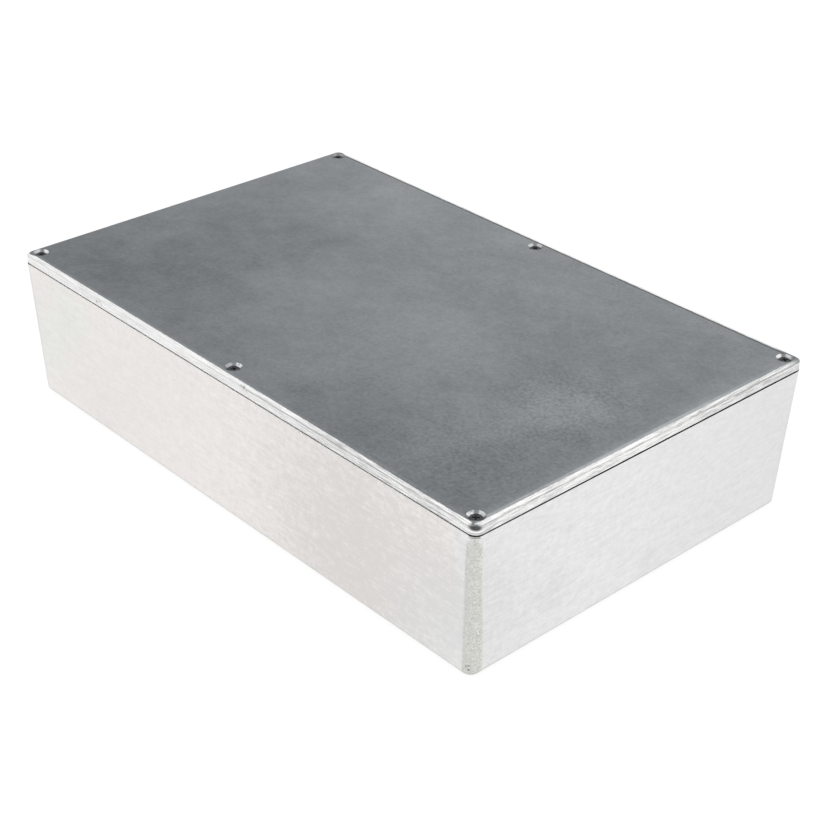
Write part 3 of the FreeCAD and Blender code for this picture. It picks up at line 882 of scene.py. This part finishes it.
def roll_thread(mesh, start):
    """Helical ridge round the core: a tooth's section swept down the shank, one pitch for each turn."""
    root = CORE_RADIUS - THREAD_SUNK
    section = ((root, start), (THREAD_RADIUS, start - CREST_START * THREAD_PITCH),
               (THREAD_RADIUS, start - CREST_END * THREAD_PITCH), (root, start - THREAD_PITCH))
    points = [mesh.verts.new((radius, 0.0, height)) for radius, height in section]
    tooth = mesh.faces.new(points)
    bmesh.ops.spin(mesh, geom=[tooth] + list(tooth.edges) + points, cent=(0.0, 0.0, 0.0),
                   axis=(0.0, 0.0, 1.0), dvec=(0.0, 0.0, -THREAD_PITCH / STEPS_PER_TURN),
                   angle=2 * math.pi * THREAD_TURNS, steps=STEPS_PER_TURN * THREAD_TURNS)


def finished_piece(mesh, name, finish):
    """A piece of the scene with the mesh, which is used up, and its finish."""
    data = bpy.data.meshes.new(name)
    mesh.to_mesh(data)
    mesh.free()
    data.materials.append(finish)
    piece = bpy.data.objects.new(name, data)
    bpy.context.scene.collection.objects.link(piece)
    return piece


SCREW_MOTTLE = 1500.0
SCREW_DARK = (0.045, 0.046, 0.05, 1.0)
SCREW_PALE = (0.085, 0.086, 0.09, 1.0)
SCREW_SMOOTH = 0.35
SCREW_ROUGH = 0.5


def screw_finish():
    """Very dark steel, slightly uneven in tone and gloss."""
    finish, tree, surface = new_finish("very_dark_steel")
    mottle = noise(tree, add(tree, "TexCoord").outputs["Object"], SCREW_MOTTLE)
    make_metal(tree, surface, blend(tree, mottle, SCREW_DARK, SCREW_PALE),
               blend(tree, mottle, SCREW_SMOOTH, SCREW_ROUGH, "FLOAT"))
    return finish


SHARP_EDGE = math.radians(35)
very_dark_steel = screw_finish()


def lid_screw(node_name, turned):
    """One screw in the place of its plain node, turned by so many degrees."""
    low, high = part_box(node_name)
    top = high.z - HEAD_DROP
    mesh = bmesh.new()
    rim = head_and_core(mesh, top, low.z)
    punch_recess(mesh, rim, top)
    roll_thread(mesh, top - HEAD_LAND - HEAD_RADIUS + CORE_RADIUS - THREAD_GAP)
    bmesh.ops.recalc_face_normals(mesh, faces=mesh.faces)
    turn = Matrix.Rotation(math.radians(turned), 3, "Z")
    bmesh.ops.rotate(mesh, verts=mesh.verts, cent=(0.0, 0.0, 0.0), matrix=turn)
    bmesh.ops.translate(mesh, vec=screw_axis(node_name), verts=mesh.verts)
    screw = finished_piece(mesh, node_name + "_threaded", very_dark_steel)
    screw.data.shade_smooth()
    screw.data.set_sharp_from_angle(angle=SHARP_EDGE)
    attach(screw, "root")
    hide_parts(node_name)


# How far each recess happened to stop from square, once its screw was tight.
SCREW_TURNS = {
    "lid_screw_front_left": 15,
    "lid_screw_front_middle": 70,
    "lid_screw_front_right": 40,
    "lid_screw_rear_left": 82,
    "lid_screw_rear_middle": 5,
    "lid_screw_rear_right": 58,
}

for node_name, turned in SCREW_TURNS.items():
    lid_screw(node_name, turned)

# The studio is a white table that runs out of sight, a white surround and one broad soft lamp overhead.
# The table is pure white to the eye and in reflections, and still takes the enclosure's own faint shadow.

TABLE_SPAN = 6.0
TABLE_GREY = (0.3, 0.3, 0.3, 1.0)
TABLE_GLOW = 0.8


def seen_ray(tree):
    """1 for rays that carry the background to the eye: direct, mirrored or through glass."""
    light_path = add(tree, "LightPath")
    seen = calc(tree, "MAXIMUM", light_path.outputs["Is Camera Ray"], light_path.outputs["Is Glossy Ray"])
    return calc(tree, "MAXIMUM", seen, light_path.outputs["Is Transmission Ray"])


def table_finish():
    """Matt grey that takes shadows, with a glow that only the eye and reflections see."""
    finish, tree, surface = new_finish("white_table")
    tree.nodes.remove(surface)
    matt = add(tree, "BsdfDiffuse", {"Color": TABLE_GREY})
    glow_strength = calc(tree, "MULTIPLY", seen_ray(tree), TABLE_GLOW)
    glow = add(tree, "Emission", {"Color": WHITE, "Strength": glow_strength})
    both = add(tree, "AddShader", {0: matt.outputs["BSDF"], 1: glow.outputs["Emission"]})
    feed(tree.nodes["Material Output"].inputs["Surface"], both.outputs["Shader"])
    return finish


table_mesh = bmesh.new()
bmesh.ops.create_grid(table_mesh, x_segments=1, y_segments=1, size=TABLE_SPAN / 2)
table = finished_piece(table_mesh, "table", table_finish())

SURROUND_LEVEL = 0.7
SEEN_LEVEL = 1.0

surround = bpy.data.worlds.new("white_surround")
surround.use_nodes = True
bpy.context.scene.world = surround
surround_tree = surround.node_tree
surround_level = blend(surround_tree, seen_ray(surround_tree), SURROUND_LEVEL, SEEN_LEVEL, "FLOAT")
feed(surround_tree.nodes["Background"].inputs["Color"], WHITE)
feed(surround_tree.nodes["Background"].inputs["Strength"], surround_level)

LAMP_HEIGHT = 1.3
LAMP_SIZE = 2.2
LAMP_WATTS = 3.0

lamp_data = bpy.data.lights.new("overhead_lamp", "AREA")
lamp_data.shape = "SQUARE"
lamp_data.size = LAMP_SIZE
lamp_data.energy = LAMP_WATTS
lamp = bpy.data.objects.new("overhead_lamp", lamp_data)
lamp.location = (0.0, 0.0, LAMP_HEIGHT)
lamp.visible_camera = False
bpy.context.scene.collection.objects.link(lamp)

# The camera stands in front of the right-hand front corner and looks down on the lid, with a long lens
# and a slight roll to the left, as the photograph was taken.

CAMERA_PLACE = Vector((474.7, -428.2, 391.1)) * MM
CAMERA_AZIMUTH = math.radians(47.195)
CAMERA_ELEVATION = math.radians(30.548)
CAMERA_ROLL = math.radians(0.938)
LENS_LENGTH = 77.46
SENSOR_WIDTH = 36.0

camera_data = bpy.data.cameras.new("camera")
camera_data.lens = LENS_LENGTH
camera_data.sensor_width = SENSOR_WIDTH
camera = bpy.data.objects.new("camera", camera_data)
camera.location = CAMERA_PLACE
camera.rotation_euler = (Matrix.Rotation(CAMERA_AZIMUTH, 3, "Z")
                         @ Matrix.Rotation(math.pi / 2 - CAMERA_ELEVATION, 3, "X")
                         @ Matrix.Rotation(CAMERA_ROLL, 3, "Z")).to_euler()
bpy.context.scene.collection.objects.link(camera)
bpy.context.scene.camera = camera
bpy.context.scene.view_settings.view_transform = "Standard"
